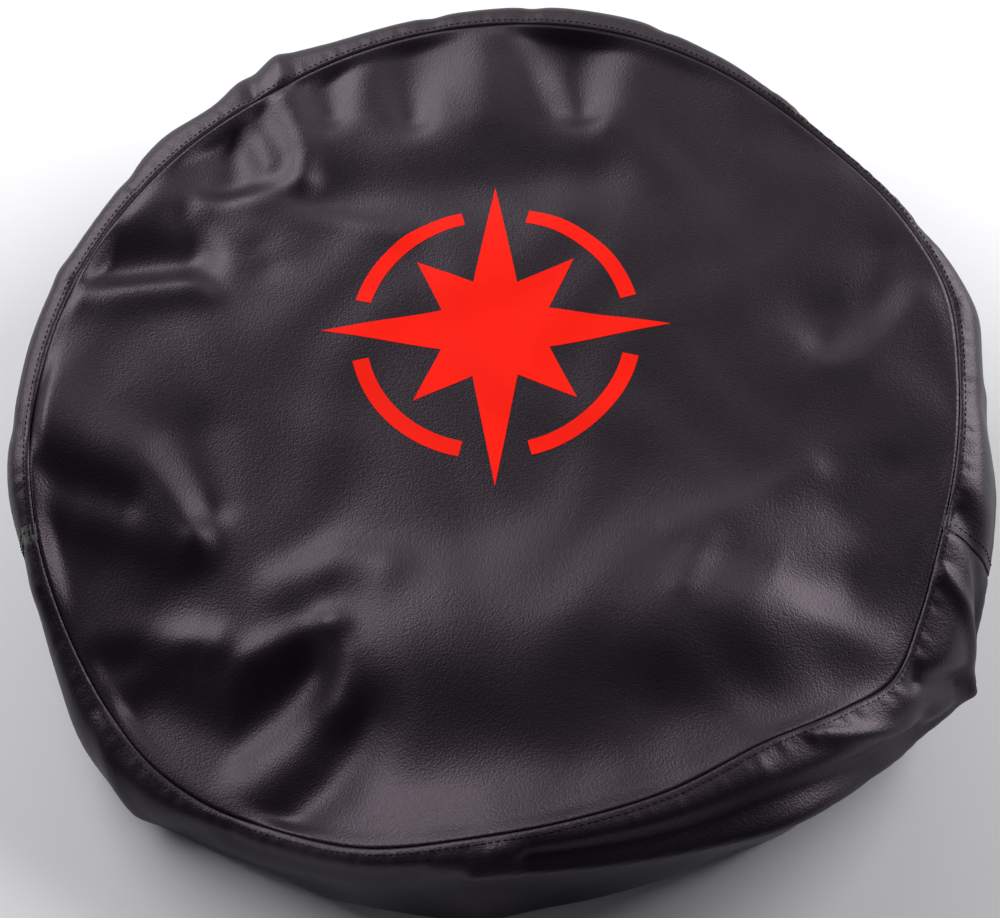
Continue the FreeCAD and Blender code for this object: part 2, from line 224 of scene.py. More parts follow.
def knitted_backing():
    """The inside: a fine grey-black cotton knit, with ribs about a millimetre apart."""
    material, nodes, links, shader = new_material("leatherette_backing")
    tree = material.node_tree
    where = nodes.new("ShaderNodeTexCoord").outputs["Object"]
    rib = nodes.new("ShaderNodeTexWave")
    rib.inputs["Scale"].default_value = 300.0
    rib.inputs["Distortion"].default_value = 1.2
    rib.inputs["Detail"].default_value = 1.0
    links.new(where, rib.inputs["Vector"])
    fuzz = noise(tree, where, 1800.0, 3.0)
    height = maths(tree, "ADD", rib.outputs["Fac"], maths(tree, "MULTIPLY", fuzz, 0.4))
    colour = nodes.new("ShaderNodeMix")
    colour.data_type = "RGBA"
    colour.inputs[6].default_value = (0.030, 0.029, 0.030, 1)
    colour.inputs[7].default_value = (0.075, 0.072, 0.072, 1)
    links.new(height, colour.inputs["Factor"])
    links.new(colour.outputs[2], shader.inputs["Base Color"])
    bump = nodes.new("ShaderNodeBump")
    bump.inputs["Distance"].default_value = 0.2 * MM
    links.new(height, bump.inputs["Height"])
    links.new(bump.outputs["Normal"], shader.inputs["Normal"])
    shader.inputs["Roughness"].default_value = 0.9
    shader.inputs["Sheen Weight"].default_value = 0.3
    return material


skin_material = leatherette_skin()
backing_material = knitted_backing()


# The face panel: one disc of leatherette. Its edge turns down into the seam and runs out under the gusset
# as a seam allowance. It's as wide as the sewn circle, so it is slack wherever the rim has drawn in, and
# it buckles into pockets beside the seam and long folds across the middle.
SAG = 5 * MM
SLACK_WAVE = 0.9 * MM
SEAM_HOLDS = 9 * MM
MIDDLE_SHARE = 0.52
MIDDLE_QUADS = 72
OUTER_RINGS = 34

# Folds, laid out on the flat panel in millimetres from its middle: the line they run along, half width
# at its start and at its end, height. A negative height is a dent. First come the pockets under the
# back seam, then the left side, the low front left, the swell across the middle, and the right. Slack
# leatherette folds softer than the table gives it, so the folds are laid wider and lower by two shares.
FOLD_WIDER = 1.2
FOLD_LOWER = 0.62
FOLDS = [
    ([(55, 265), (55, 210)], 30, 15, -18),
    ([(10, 270), (30, 225), (50, 200), (70, 200)], 9, 9, 3),
    ([(115, 245), (130, 150)], 26, 32, -6),
    ([(-5, 260), (-10, 205)], 16, 14, 4),
    ([(-60, 260), (-55, 210)], 22, 12, -11),
    ([(-115, 250), (-110, 215)], 17, 11, -9),
    ([(-150, 240), (-130, 185), (-125, 160)], 11, 9, 7),
    ([(-165, 230), (-140, 180)], 11, 9, -6),
    ([(-180, 190), (-175, 165)], 20, 20, -19),
    ([(-190, 200), (-175, 210), (-160, 195), (-150, 175)], 8, 8, 6),
    ([(-190, 140), (-160, 145), (-130, 155)], 10, 10, 5),
    ([(-250, 95), (-200, 100)], 16, 13, -17),
    ([(-250, 125), (-220, 135)], 14, 12, 3),
    ([(-265, 65), (-230, 70), (-185, 75)], 12, 9, 7),
    ([(-205, 130), (-185, 100), (-180, 80)], 11, 8, -6),
    ([(-165, 145), (-125, 130), (-95, 125), (-60, 115)], 9, 8, 3),
    ([(-110, 150), (-35, 150), (60, 160)], 22, 22, -9),
    ([(-150, 105), (-145, 95)], 12, 12, -4),
    ([(-270, -20), (-245, -30), (-215, -45), (-190, -70), (-175, -90)], 26, 10, 15),
    ([(-270, -55), (-215, -70)], 12, 10, -8),
    ([(-265, -70), (-225, -80), (-180, -100), (-170, -100)], 10, 9, 5),
    ([(-250, -90), (-195, -120)], 20, 24, -13),
    ([(-180, -30), (-165, -70)], 18, 11, -7),
    ([(-225, -150), (-200, -140), (-170, -145)], 9, 8, 4),
    ([(-215, -155), (-170, -155)], 8, 7, -5),
    ([(-210, -170), (-190, -155), (-155, -150)], 9, 8, 8),
    ([(-195, -170), (-145, -200), (-100, -170)], 17, 16, -19),
    ([(-135, -160), (-110, -150), (-95, -145)], 9, 9, 8),
    ([(-90, -150), (-85, -165), (-85, -190)], 9, 9, 9),
    ([(-70, -200), (-90, -230), (-115, -250)], 15, 13, -13),
    ([(-120, -120), (-90, -110), (-65, -115)], 13, 14, 9),
    ([(-40, -160), (40, -155), (140, -140)], 44, 42, 25),
    ([(120, -105), (105, -135)], 8, 8, 3),
    ([(135, -120), (155, -135), (195, -130)], 16, 16, -7),
    ([(205, -85), (230, -60)], 16, 14, -5),
    ([(105, -95), (150, -80), (185, -60)], 9, 9, 3),
    ([(155, -140), (175, -150), (220, -170)], 12, 12, 3),
    ([(-85, -225), (10, -235), (70, -230)], 30, 28, -9),
    ([(95, -205), (140, -200), (180, -190)], 22, 20, -7),
    ([(200, 45), (200, 30)], 17, 11, -6),
    ([(205, 15), (220, 15), (240, 30), (255, 55)], 10, 10, 3),
    ([(240, 90), (230, 60)], 14, 14, -5),
]


def disc_of_quads():
    """A flat disc all in quads, a squarish middle inside rings. The last ring is the rim."""
    side = MIDDLE_QUADS + 1
    across = np.tan(np.linspace(-1, 1, side) * math.pi / 4)
    x, y = np.meshgrid(across, across, indexing="ij")
    reach = np.maximum(abs(x), abs(y))
    length = np.maximum(np.hypot(x, y), 1e-9)
    fullness = 1 - 0.45 * reach * (1 - 1.12 * reach / length)
    middle = np.stack([x * fullness, y * fullness], -1) * MIDDLE_SHARE * SEAM_RADIUS
    number = np.arange(side * side).reshape(side, side)
    quads = [(number[i, j], number[i + 1, j], number[i + 1, j + 1], number[i, j + 1])
             for i in range(MIDDLE_QUADS) for j in range(MIDDLE_QUADS)]
    edge = np.concatenate([number[-1, :-1], number[:0:-1, -1], number[0, :0:-1], number[:-1, 0]])
    points = [middle.reshape(-1, 2)]
    inner = middle.reshape(-1, 2)[edge]
    count = len(edge)
    turn = -math.pi / 4 + np.arange(count) * 2 * math.pi / count
    rim = np.stack([np.cos(turn), np.sin(turn)], -1) * SEAM_RADIUS
    last = edge
    for ring in range(1, OUTER_RINGS + 1):
        share = ring / OUTER_RINGS
        points.append(inner + (rim - inner) * share)
        row = side * side + (ring - 1) * count + np.arange(count)
        quads += [(last[k], row[k], row[(k + 1) % count], last[(k + 1) % count]) for k in range(count)]
        last = row
    return np.concatenate(points), quads, count


HARMONICS = 40


def spread_in(rim_values, radius, turn):
    """Carries values given round the rim smoothly inwards, as a stretched skin would."""
    waves = np.fft.rfft(rim_values) / len(rim_values)
    total = np.full(radius.shape, waves[0].real)
    for order in range(1, HARMONICS):
        total += 2 * (waves[order] * np.exp(1j * order * turn)).real * radius ** order
    return total


def fold_heights(x, y):
    """Adds up the folds at points of the flat panel."""
    height = np.zeros_like(x)
    for line, width_first, width_last, amount in FOLDS:
        nearest = np.full_like(x, 1e9)
        for number, (start, end) in enumerate(zip(line, line[1:])):
            a, b = np.array(start) * MM, np.array(end) * MM
            run = b - a
            along = np.clip(((x - a[0]) * run[0] + (y - a[1]) * run[1]) / (run @ run), 0, 1)
            share = (number + along) / (len(line) - 1)
            width = width_first + share * (width_last - width_first)
            away = np.hypot(x - a[0] - along * run[0], y - a[1] - along * run[1])
            nearest = np.minimum(nearest, away / (FOLD_WIDER * width * MM))
        height += FOLD_LOWER * amount * MM * np.exp(-nearest ** 2)
    return height


def laid_out(flat):
    """Where points of the flat panel lie on the slack cover, before the cloth settles."""
    x, y = flat[:, 0], flat[:, 1]
    radius = np.hypot(x, y) / SEAM_RADIUS
    turn = np.arctan2(y, x)
    stretch = spread_in(seam_out / SEAM_RADIUS, radius, turn)
    height = spread_in(seam_up, radius, turn) - SAG * (1 - radius ** 2)
    hold = np.clip((1 - radius) * SEAM_RADIUS / SEAM_HOLDS, 0, 1)
    waves = np.sin(71 * x + 1.4 * np.sin(33 * y + 0.6)) * np.sin(58 * y + 1.3 * np.sin(41 * x + 1.0))
    height += (fold_heights(x, y) + SLACK_WAVE * waves) * (3 - 2 * hold) * hold ** 2
    return np.stack([x * stretch, y * stretch, height], -1)


def mesh_object(name, points, faces, materials):
    """A mesh object from points in metres."""
    mesh = bpy.data.meshes.new(name)
    mesh.from_pydata([tuple(p) for p in points], [], [tuple(int(v) for v in f) for f in faces])
    mesh.polygons.foreach_set("use_smooth", [True] * len(mesh.polygons))
    for material in materials:
        mesh.materials.append(material)
    mesh.update()
    piece = bpy.data.objects.new(name, mesh)
    bpy.context.collection.objects.link(piece)
    return piece


def evaluated_points(piece):
    """The piece's points as its modifiers leave them, and its faces."""
    shown = piece.evaluated_get(bpy.context.evaluated_depsgraph_get())
    mesh = shown.to_mesh()
    points = np.empty(len(mesh.vertices) * 3)
    mesh.vertices.foreach_get("co", points)
    faces = [tuple(p.vertices) for p in mesh.polygons]
    shown.to_mesh_clear()
    return points.reshape(-1, 3), faces


GOAL = 0.17
FRAMES = 25


def settle(flat, laid, quads, rim_count):
    """Lets the panel settle as cloth: cut to the flat disc, sewn to the rim, near where it was laid."""
    piece = mesh_object("settling", np.column_stack([flat, np.zeros(len(flat))]), quads, [])
    piece.shape_key_add(name="cut")
    key = piece.shape_key_add(name="laid")
    key.data.foreach_set("co", laid.ravel())
    key.value = 1.0
    group = piece.vertex_groups.new(name="held")
    first_rim = len(flat) - 2 * rim_count
    group.add(list(range(first_rim)), GOAL, "REPLACE")
    group.add(list(range(first_rim, len(flat))), 1.0, "REPLACE")
    cloth = piece.modifiers.new("cloth", "CLOTH")
    ways = cloth.settings
    ways.rest_shape_key = piece.data.shape_keys.key_blocks["cut"]
    ways.vertex_group_mass = "held"
    ways.pin_stiffness = 0.5
    ways.quality = 8
    ways.mass = 0.02
    ways.tension_stiffness = 60
    ways.compression_stiffness = 60
    ways.shear_stiffness = 30
    ways.bending_stiffness = 6
    ways.tension_damping = 20
    ways.compression_damping = 20
    ways.shear_damping = 20
    ways.effector_weights.gravity = 0.25
    cloth.point_cache.frame_start = 1
    cloth.point_cache.frame_end = FRAMES + 5
    for number in range(1, FRAMES + 1):
        bpy.context.scene.frame_set(number)
    points, _ = evaluated_points(piece)
    bpy.data.objects.remove(piece)
    bpy.context.scene.frame_set(1)
    return points


def subdivided(points, faces, levels):
    """The same surface in smaller quads."""
    piece = mesh_object("dividing", points, faces, [])
    finer = piece.modifiers.new("finer", "SUBSURF")
    finer.levels = levels
    finer.render_levels = levels
    fine_points, fine_faces = evaluated_points(piece)
    bpy.data.objects.remove(piece)
    return fine_points, fine_faces


flat_disc, disc_faces, rim_count = disc_of_quads()
laid_disc = laid_out(flat_disc)
laid_disc = settle(flat_disc, laid_disc, disc_faces, rim_count)

flat_3d = np.column_stack([flat_disc, np.zeros(len(flat_disc))])
fine_flat, fine_faces = subdivided(flat_3d, disc_faces, 1)
fine_laid, _ = subdivided(laid_disc, disc_faces, 1)


# The gusset: a straight band sewn round the face and joined at the left and the right. From the seam it
# is folded over its allowance, rolls down the wall, turns under on the floor, and ends in a hem that is
# folded back inside for the elastic. The elastic has drawn the opening in, so the hem is gathered.
LEATHERETTE = 1.2 * MM
BAND_LENGTH = 216 * MM
HEM_STITCH = BAND_LENGTH - 18 * MM
FLOOR_GAP = 1.6 * MM
across_band = np.r_[0, 0.6, 1.2, 1.9, 2.7, 3.5, 4.2, 5.0, 5.8, 6.8, 8.0, 9.5, 11.5, 14, np.arange(17, 120, 3),
                    np.arange(120, 198, 4), 198, 202, 206, 209, 212, 214, 215.2, 216] * MM
TOPSTITCH = 7
HEM_ROW = int(np.argmin(abs(across_band - HEM_STITCH)))

# Creases in the gusset: the line they run along (clock angle, then millimetres from the seam), half
# width at its start and end, height out of the surface.
CREASES = [
    ([(126, 4), (124, 26), (122, 46)], 6, 9, -3),
    ([(121, 6), (119, 40)], 6, 8, 2),
    ([(99, 4), (98, 30)], 6, 8, -1.2),
    ([(86, 4), (85, 26)], 6, 8, -1.2),
    ([(69, 4), (67, 30)], 7, 9, -1.2),
    ([(147, 6), (145, 34)], 7, 9, -1.2),
    ([(164, 6), (160, 40)], 8, 10, 1.2),
    ([(186, 8), (182, 50)], 9, 11, -1.2),
    ([(205, 10), (199, 60)], 10, 14, 1.5),
    ([(222, 8), (229, 44)], 9, 8, 2),
    ([(240, 8), (233, 40)], 10, 10, -1.5),
    ([(241, 19), (262, 20)], 8, 9, -2.4),
    ([(268, 22), (280, 29), (290, 37), (303, 48), (315, 56), (328, 76)], 6, 5, 4.5),
    ([(328, 76), (336, 62), (347, 49), (360, 40)], 5, 8, 2.5),
    ([(274, 16), (290, 25), (303, 33), (320, 44)], 8, 9, -5),
    ([(270, 11), (300, 13)], 7, 7, 2),
    ([(308, 8), (318, 32), (328, 72)], 6, 5, 3),
    ([(322, 14), (327, 56)], 7, 7, -5),
    ([(334, 8), (329, 70)], 6, 5, 3),
    ([(342, 10), (333, 62)], 10, 7, -4),
    ([(345, 12), (341, 60)], 12, 14, 1.2),
    ([(358, 10), (355, 64)], 12, 15, -1.2),
    ([(10, 12), (7, 60)], 12, 15, 1.2),
    ([(22, 6), (24, 44)], 10, 12, -1.2),
    ([(48, 8), (44, 60)], 12, 14, 1.2),
]


def smooth_line(knots, count):
    """A smooth line through the knots, as a number of points, and the length along it."""
    span = np.r_[0, np.cumsum(np.sqrt(np.linalg.norm(np.diff(knots, axis=0), axis=1)))]
    fine = np.linspace(0, span[-1], count)
    slope = np.gradient(knots, span, axis=0)
    i = np.clip(np.searchsorted(span, fine, side="right") - 1, 0, len(span) - 2)
    step = (span[i + 1] - span[i])[:, None]
    t = ((fine - span[i]) / step[:, 0])[:, None]
    line = (knots[i] + (3 - 2 * t) * t * t * (knots[i + 1] - knots[i])
            + step * (t * (1 - t) ** 2 * slope[i] - t * t * (1 - t) * slope[i + 1]))
    return line, np.r_[0, np.cumsum(np.linalg.norm(np.diff(line, axis=0), axis=1))]


def section(k):
    """The gusset's skin at one angle, from the seam to the hem's fold, as points of radius and height."""
    r, z = seam_out[k], seam_up[k]
    ridge_r, ridge_z = roll_out[k], roll_up[k]
    foot_r = foot_out[k]
    drop = z - ridge_z
    out = ridge_r - r
    bend = out - 5 * MM
    knots = np.array([
        (r + 0.3 * MM, z - 1.3 * MM),
        (r + 0.5 * MM, z - 0.3 * MM),
        (r + 1.4 * MM, z + 0.55 * MM),
        (r + 2.9 * MM, z + 0.75 * MM),
        (r + 5.0 * MM, z + 0.4 * MM),
        (r + 5.0 * MM + 0.50 * bend, z + 0.3 * MM - 0.13 * drop),
        (r + 5.0 * MM + 0.87 * bend, z + 0.2 * MM - 0.50 * drop),
        (ridge_r, ridge_z),
        (ridge_r * 0.62 + foot_r * 0.38, ridge_z * 0.62),
        (foot_r + 1.5 * MM, min(16 * MM, 0.5 * ridge_z)),
        (foot_r - 3 * MM, FLOOR_GAP + 2 * MM),
        (foot_r - 12 * MM, FLOOR_GAP),
        (foot_r - 40 * MM, FLOOR_GAP),
        (foot_r - 80 * MM, FLOOR_GAP),
        (foot_r - 130 * MM, FLOOR_GAP),
        (foot_r - 190 * MM, FLOOR_GAP),
    ])
    line, length = smooth_line(knots, 900)
    return np.stack([np.interp(across_band, length, line[:, i]) for i in range(2)], -1)


def out_of(line):
    """The outward direction of each point of a section, square to it."""
    run = np.gradient(line, axis=-2)
    out = np.stack([-run[..., 1], run[..., 0]], -1)
    return out / np.maximum(np.linalg.norm(out, axis=-1, keepdims=True), 1e-9)


MM_PER_DEGREE = 5.06


def crease_heights():
    """Adds up the creases, the slack's slow waves, the puckers of the stitching and the hem's gathers."""
    around, down = np.meshgrid(np.degrees(CLOCK) * MM_PER_DEGREE, across_band / MM, indexing="ij")
    height = np.zeros_like(around)
    whole = 360 * MM_PER_DEGREE
    for line, width_first, width_last, amount in CREASES:
        nearest = np.full_like(around, 1e9)
        for number, (start, end) in enumerate(zip(line, line[1:])):
            a = np.array([start[0] * MM_PER_DEGREE, start[1]])
            run = np.array([end[0] * MM_PER_DEGREE, end[1]]) - a
            dx = (around - a[0] + whole / 2) % whole - whole / 2
            dy = down - a[1]
            along = np.clip((dx * run[0] + dy * run[1]) / (run @ run), 0, 1)
            share = (number + along) / (len(line) - 1)
            width = width_first + share * (width_last - width_first)
            nearest = np.minimum(nearest, np.hypot(dx - along * run[0], dy - along * run[1]) / width)
        height += amount * np.exp(-nearest ** 2)
    turn = CLOCK[:, None]
    wall = np.exp(-((down - 62) / 34) ** 2)
    height += wall * (0.7 * np.sin(17 * turn + 1.1 * np.sin(5 * turn)) + 0.3 * np.sin(31 * turn + 2.0))
    drape = np.exp(-((down - 88) / 30) ** 2)
    height += drape * (1.8 * np.sin(13 * turn + down / 26 + 1.6 * np.sin(4 * turn))
                       + 1.0 * np.sin(29 * turn - down / 19 + 2.0 * np.sin(7 * turn)))
    pucker = np.exp(-((down - 7.5) / 4.5) ** 2)
    height += pucker * (0.16 * np.sin(139 * turn + 2 * np.sin(9 * turn)) + 0.12 * np.sin(211 * turn + 1.0))
    gather = np.clip((down - 140) / 76, 0, 1) ** 2
    ruffle = 1.0 + 0.6 * np.sin(58 * turn + 2.4 * np.sin(7 * turn)) + 0.4 * np.sin(97 * turn + 1.7)
    height -= gather * 1.5 * ruffle
    height *= np.clip((down - 1.2) / 6, 0.2, 1)
    return height * MM


def to_space(line):
    """Sections given as radius and height, one for each clock angle, as points in space."""
    turn = CLOCK[:, None]
    return np.stack([line[..., 0] * np.cos(turn), line[..., 0] * np.sin(turn), line[..., 1]], -1)


sections = np.array([section(k) for k in range(ANGLES)])
sections_out = out_of(sections)
sections = sections + sections_out * crease_heights()[..., None]
sections[..., 1] = np.maximum(sections[..., 1], 0.25 * MM)
sections_out = out_of(sections)

SHOULDER = slice(3, 28)


def under_the_gusset(depth, reaches):
    """Lines under the gusset's shoulder that stay a depth away from its skin, at reaches from the seam."""
    over = sections[:, SHOULDER]
    room = over[..., 0].max(axis=1) - seam_out - depth
    lines = []
    for reach in reaches:
        r = seam_out + np.minimum(reach * MM, room * min(reach / 7, 1))
        aside = over[..., 0] - r[:, None]
        drop = np.sqrt(np.maximum(depth ** 2 - aside ** 2, 0))
        lines.append(np.stack([r, np.where(abs(aside) < depth, over[..., 1] - drop, 1.0).min(axis=1)], -1))
    return np.stack(lines, axis=1)


# The allowance lies under the gusset, skin down, back to back with it. The hem's fold comes back inside.
allowance = under_the_gusset(2 * LEATHERETTE + 0.05 * MM, (7.4, 6.0, 4.6, 3.2, 1.9))
fold_in = np.stack([seam_out + 0.55 * MM, seam_up - 1.85 * MM], -1)[:, None]
last = sections[:, -1:]
tunnel = np.concatenate([last + np.array(step) * MM for step in (
    (-0.9, 0.8), (-1.1, 2.2), (-0.4, 3.6), (1.2, 4.6), (4.0, 5.0), (8.0, 4.9), (12.0, 4.3), (15.0, 3.1),
    (17.5, 2.55), (19.5, 2.5), (21.0, 2.5))], axis=1)
strip = np.concatenate([allowance, fold_in, sections, tunnel], axis=1)
FIRST = allowance.shape[1] + 1
band = to_space(strip)
skin = band[:, FIRST:FIRST + len(across_band)]
skin_out = np.stack([sections_out[..., 0] * np.cos(CLOCK)[:, None],
                     sections_out[..., 0] * np.sin(CLOCK)[:, None], sections_out[..., 1]], -1)

JOIN_RIGHT = -20.5
JOIN_LEFT = 199.5
LAP = 1.5
TUCK_EASE = 0.9
TUCK_GAP = 0.06 * MM


def crisp_edges(piece):
    """Keeps the cut edges sharp in the shading."""
    used = {}
    for face in piece.data.polygons:
        for pair in face.edge_keys:
            used[pair] = used.get(pair, 0) + 1
    for edge in piece.data.edges:
        edge.use_edge_sharp = used[edge.key] == 1
    edges = piece.modifiers.new("edges", "EDGE_SPLIT")
    edges.use_edge_angle = False


def thicken(piece, thickness):
    """Gives a skin its thickness inwards, with the knitted backing on the inside and at the cut edge."""
    solid = piece.modifiers.new("thickness", "SOLIDIFY")
    solid.thickness = thickness
    solid.offset = -1.0
    solid.material_offset = 1
    solid.material_offset_rim = 1
    crisp_edges(piece)


def band_piece(name, first, last, tuck):
    """One length of the gusset, from one clock angle round to another. A tucked one has both its ends
    pushed in under the other length by the thickness of the leatherette."""
    low = round(first * ANGLES / 360)
    high = round(last * ANGLES / 360)
    number = np.arange(low, high + 1)
    line = strip[number % ANGLES]
    if tuck:
        from_end = np.minimum(number - low, high - number) * 360 / ANGLES
        push = np.clip((tuck + TUCK_EASE - from_end) / TUCK_EASE, 0, 1) * (LEATHERETTE + TUCK_GAP)
        line = line - out_of(line) * push[:, None, None]
    turn = CLOCK[number % ANGLES][:, None]
    points = np.stack([line[..., 0] * np.cos(turn), line[..., 0] * np.sin(turn), line[..., 1]], -1)
    wide = line.shape[1]
    faces = [(a * wide + b, a * wide + b + 1, (a + 1) * wide + b + 1, (a + 1) * wide + b)
             for a in range(len(number) - 1) for b in range(wide - 1)]
    piece = mesh_object(name, points.reshape(-1, 3), faces, [skin_material, backing_material])
    thicken(piece, LEATHERETTE)
    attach(piece, "root")
    return piece


gusset_upper = band_piece("gusset_upper_skin", JOIN_RIGHT, JOIN_LEFT, 0)
gusset_lower = band_piece("gusset_lower_skin", JOIN_LEFT - LAP, 360 + JOIN_RIGHT + LAP, LAP)
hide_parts("gusset_upper")
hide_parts("gusset_lower")


# The face panel's edge turns down into the seam, then runs out under the gusset's allowance.
def edge_rings(points, faces, flat):
    """The panel with the rings of its edge added."""
    paired = {(f[i], f[(i + 1) % len(f)]) for f in faces for i in range(len(f))}
    after = {a: b for a, b in paired if (b, a) not in paired}
    start = next(iter(after))
    rim = [start]
    while after[rim[-1]] != start:
        rim.append(after[rim[-1]])
    at = np.arctan2(flat[rim, 1], flat[rim, 0]) % (2 * math.pi) / (2 * math.pi) * ANGLES
    k = np.floor(at).astype(int) % ANGLES
    part = (at - np.floor(at))[:, None]

    def between(rows):
        return rows[k] * (1 - part) + rows[(k + 1) % ANGLES] * part

    seam = between(np.stack([seam_out, seam_up], -1))
    rings = [seam + np.array(step) * MM for step in ((0.12, -0.7), (0.14, -1.3), (0.35, -1.95), (1.1, -2.45))]
    flap = under_the_gusset(2 * LEATHERETTE + 0.12 * MM, (2.6, 4.6, 6.8))
    rings += [between(flap[:, i]) for i in range(3)]
    turn = at * 2 * math.pi / ANGLES
    all_points, all_faces, previous = [points], list(faces), rim
    count = len(rim)
    for ring in rings:
        base = sum(len(block) for block in all_points)
        all_points.append(np.stack([ring[:, 0] * np.cos(turn), ring[:, 0] * np.sin(turn), ring[:, 1]], -1))
        row = list(range(base, base + count))
        for i in range(count):
            j = (i + 1) % count
            all_faces.append((previous[j], previous[i], row[i], row[j]))
        previous = row
    return np.concatenate(all_points), all_faces


panel_points, panel_faces = edge_rings(fine_laid, fine_faces, fine_flat)
face_panel = mesh_object("face_panel_skin", panel_points, panel_faces, [skin_material, backing_material])
thicken(face_panel, LEATHERETTE)
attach(face_panel, "root")
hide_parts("face_panel")


# Thread: black bonded polyester, 0.6 mm, sewn with 4 mm stitches. Every stitch is its own short length
# that comes up through one hole and goes down through the next.
def sewing_thread():
    """Black thread with the twist of its plies and a little fuzz."""
    material, nodes, links, shader = new_material("black_thread")
    tree = material.node_tree
    where = nodes.new("ShaderNodeTexCoord").outputs["Object"]
    twist = nodes.new("ShaderNodeTexWave")
    twist.inputs["Scale"].default_value = 900.0
    twist.inputs["Distortion"].default_value = 2.0
    twist.bands_direction = "DIAGONAL"
    links.new(where, twist.inputs["Vector"])
    fuzz = noise(tree, where, 5000.0, 2.0)
    height = maths(tree, "ADD", twist.outputs["Fac"], maths(tree, "MULTIPLY", fuzz, 0.5))
    colour = nodes.new("ShaderNodeMix")
    colour.data_type = "RGBA"
    colour.inputs[6].default_value = (0.003, 0.003, 0.003, 1)
    colour.inputs[7].default_value = (0.009, 0.008, 0.009, 1)
    links.new(maths(tree, "MULTIPLY", height, 0.6, clamp=True), colour.inputs["Factor"])
    links.new(colour.outputs[2], shader.inputs["Base Color"])
    bump = nodes.new("ShaderNodeBump")
    bump.inputs["Distance"].default_value = 0.08 * MM
    links.new(height, bump.inputs["Height"])
    links.new(bump.outputs["Normal"], shader.inputs["Normal"])
    shader.inputs["Roughness"].default_value = 0.65
    shader.inputs["Specular IOR Level"].default_value = 0.15
    return material


thread_material = sewing_thread()
THREAD = 0.3 * MM
PITCH = 4 * MM


def stitches(name, line, out, pitch, share, dive, closed=True, radius=THREAD):
    """A row of stitches along a line of points, lying on the side that out points to."""
    if closed:
        line = np.concatenate([line, line[:1]])
        out = np.concatenate([out, out[:1]])
    length = np.r_[0, np.cumsum(np.linalg.norm(np.diff(line, axis=0), axis=1))]
    count = int(length[-1] / pitch)
    pitch = length[-1] / count
    steps = np.array([0.0, 0.07, 0.2, 0.4, 0.6, 0.8, 0.93, 1.0])
    lift = np.array([-dive, -0.35 * dive, 0.25 * radius, 0.75 * radius, 0.75 * radius, 0.25 * radius,
                     -0.35 * dive, -dive])
    girth = np.array([0.45, 0.85, 1.0, 1.0, 1.0, 1.0, 0.85, 0.45]) * radius
    at = (np.arange(count)[:, None] + 0.5 + (steps[None] - 0.5) * share) * pitch
    middle = np.stack([np.interp(at, length, line[:, i]) for i in range(3)], -1)
    up = np.stack([np.interp(at, length, out[:, i]) for i in range(3)], -1)
    up /= np.linalg.norm(up, axis=-1, keepdims=True)
    along = np.gradient(middle, axis=1)
    along /= np.linalg.norm(along, axis=-1, keepdims=True)
    side = np.cross(along, up)
    middle = middle + up * lift[None, :, None]
    around = np.arange(8) * math.pi / 4
    ring = (up[:, :, None] * np.cos(around)[None, None, :, None]
            + side[:, :, None] * np.sin(around)[None, None, :, None])
    points = middle[:, :, None] + ring * girth[None, :, None, None]
    faces = []
    for number in range(count):
        base = number * len(steps) * 8
        for row in range(len(steps) - 1):
            for i in range(8):
                j = (i + 1) % 8
                faces.append((base + row * 8 + i, base + row * 8 + j,
                              base + row * 8 + 8 + j, base + row * 8 + 8 + i))
        faces.append(tuple(base + i for i in reversed(range(8))))
        faces.append(tuple(base + (len(steps) - 1) * 8 + i for i in range(8)))
    piece = mesh_object(name, points.reshape(-1, 3), faces, [thread_material])
    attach(piece, "root")
    return piece


seam_line = to_space(np.stack([seam_out + 0.2 * MM, seam_up - 1.45 * MM], -1)[:, None])[:, 0]
seam_side = np.stack([-np.cos(CLOCK), -np.sin(CLOCK), np.ones(ANGLES)], -1)
seam_thread = stitches("seam_stitches", seam_line, seam_side, PITCH, 0.86, 0.3 * MM)
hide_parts("face_seam_thread")

top_line, top_out = skin[:, TOPSTITCH], skin_out[:, TOPSTITCH]
top_needle = stitches("topstitch_needle_stitches", top_line, top_out, PITCH, 0.78, 0.6 * MM)
under_line = to_space(under_the_gusset(3 * LEATHERETTE + 0.3 * MM, (4.2,)))[:, 0]
top_bobbin = stitches("topstitch_bobbin_stitches", under_line, -top_out, PITCH, 0.84, 0.3 * MM)
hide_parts("face_topstitch_needle_thread")
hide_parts("face_topstitch_bobbin_thread")

hem_line, hem_out = skin[:, HEM_ROW], skin_out[:, HEM_ROW]
hem_needle = stitches("hem_needle_stitches", hem_line, hem_out, PITCH, 0.84, 0.4 * MM)
hem_bobbin = stitches("hem_bobbin_stitches", hem_line - hem_out * (2 * LEATHERETTE + 0.15 * MM),
                      -hem_out, PITCH, 0.84, 0.3 * MM)
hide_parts("hem_needle_thread")
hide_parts("hem_bobbin_thread")


# The joins: where the lower length tucks in under the upper one, two rows of stitches run from the seam
# to the hem, 4 mm in from the cut edge of the upper length.
def join_row(name, clock, node, inside):
    """The stitches of one join, seen from outside or from inside."""
    at = clock * ANGLES / 360
    k = int(math.floor(at)) % ANGLES
    part = at - math.floor(at)
    line = skin[k] * (1 - part) + skin[(k + 1) % ANGLES] * part
    out = skin_out[k] * (1 - part) + skin_out[(k + 1) % ANGLES] * part
    line, out = line[9:HEM_ROW], out[9:HEM_ROW]
    if inside:
        line, out = line - out * (2 * LEATHERETTE + 0.15 * MM), -out
    row = stitches(name, line, out, PITCH, 0.84, 0.35 * MM, closed=False)
    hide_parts(node)
    return row


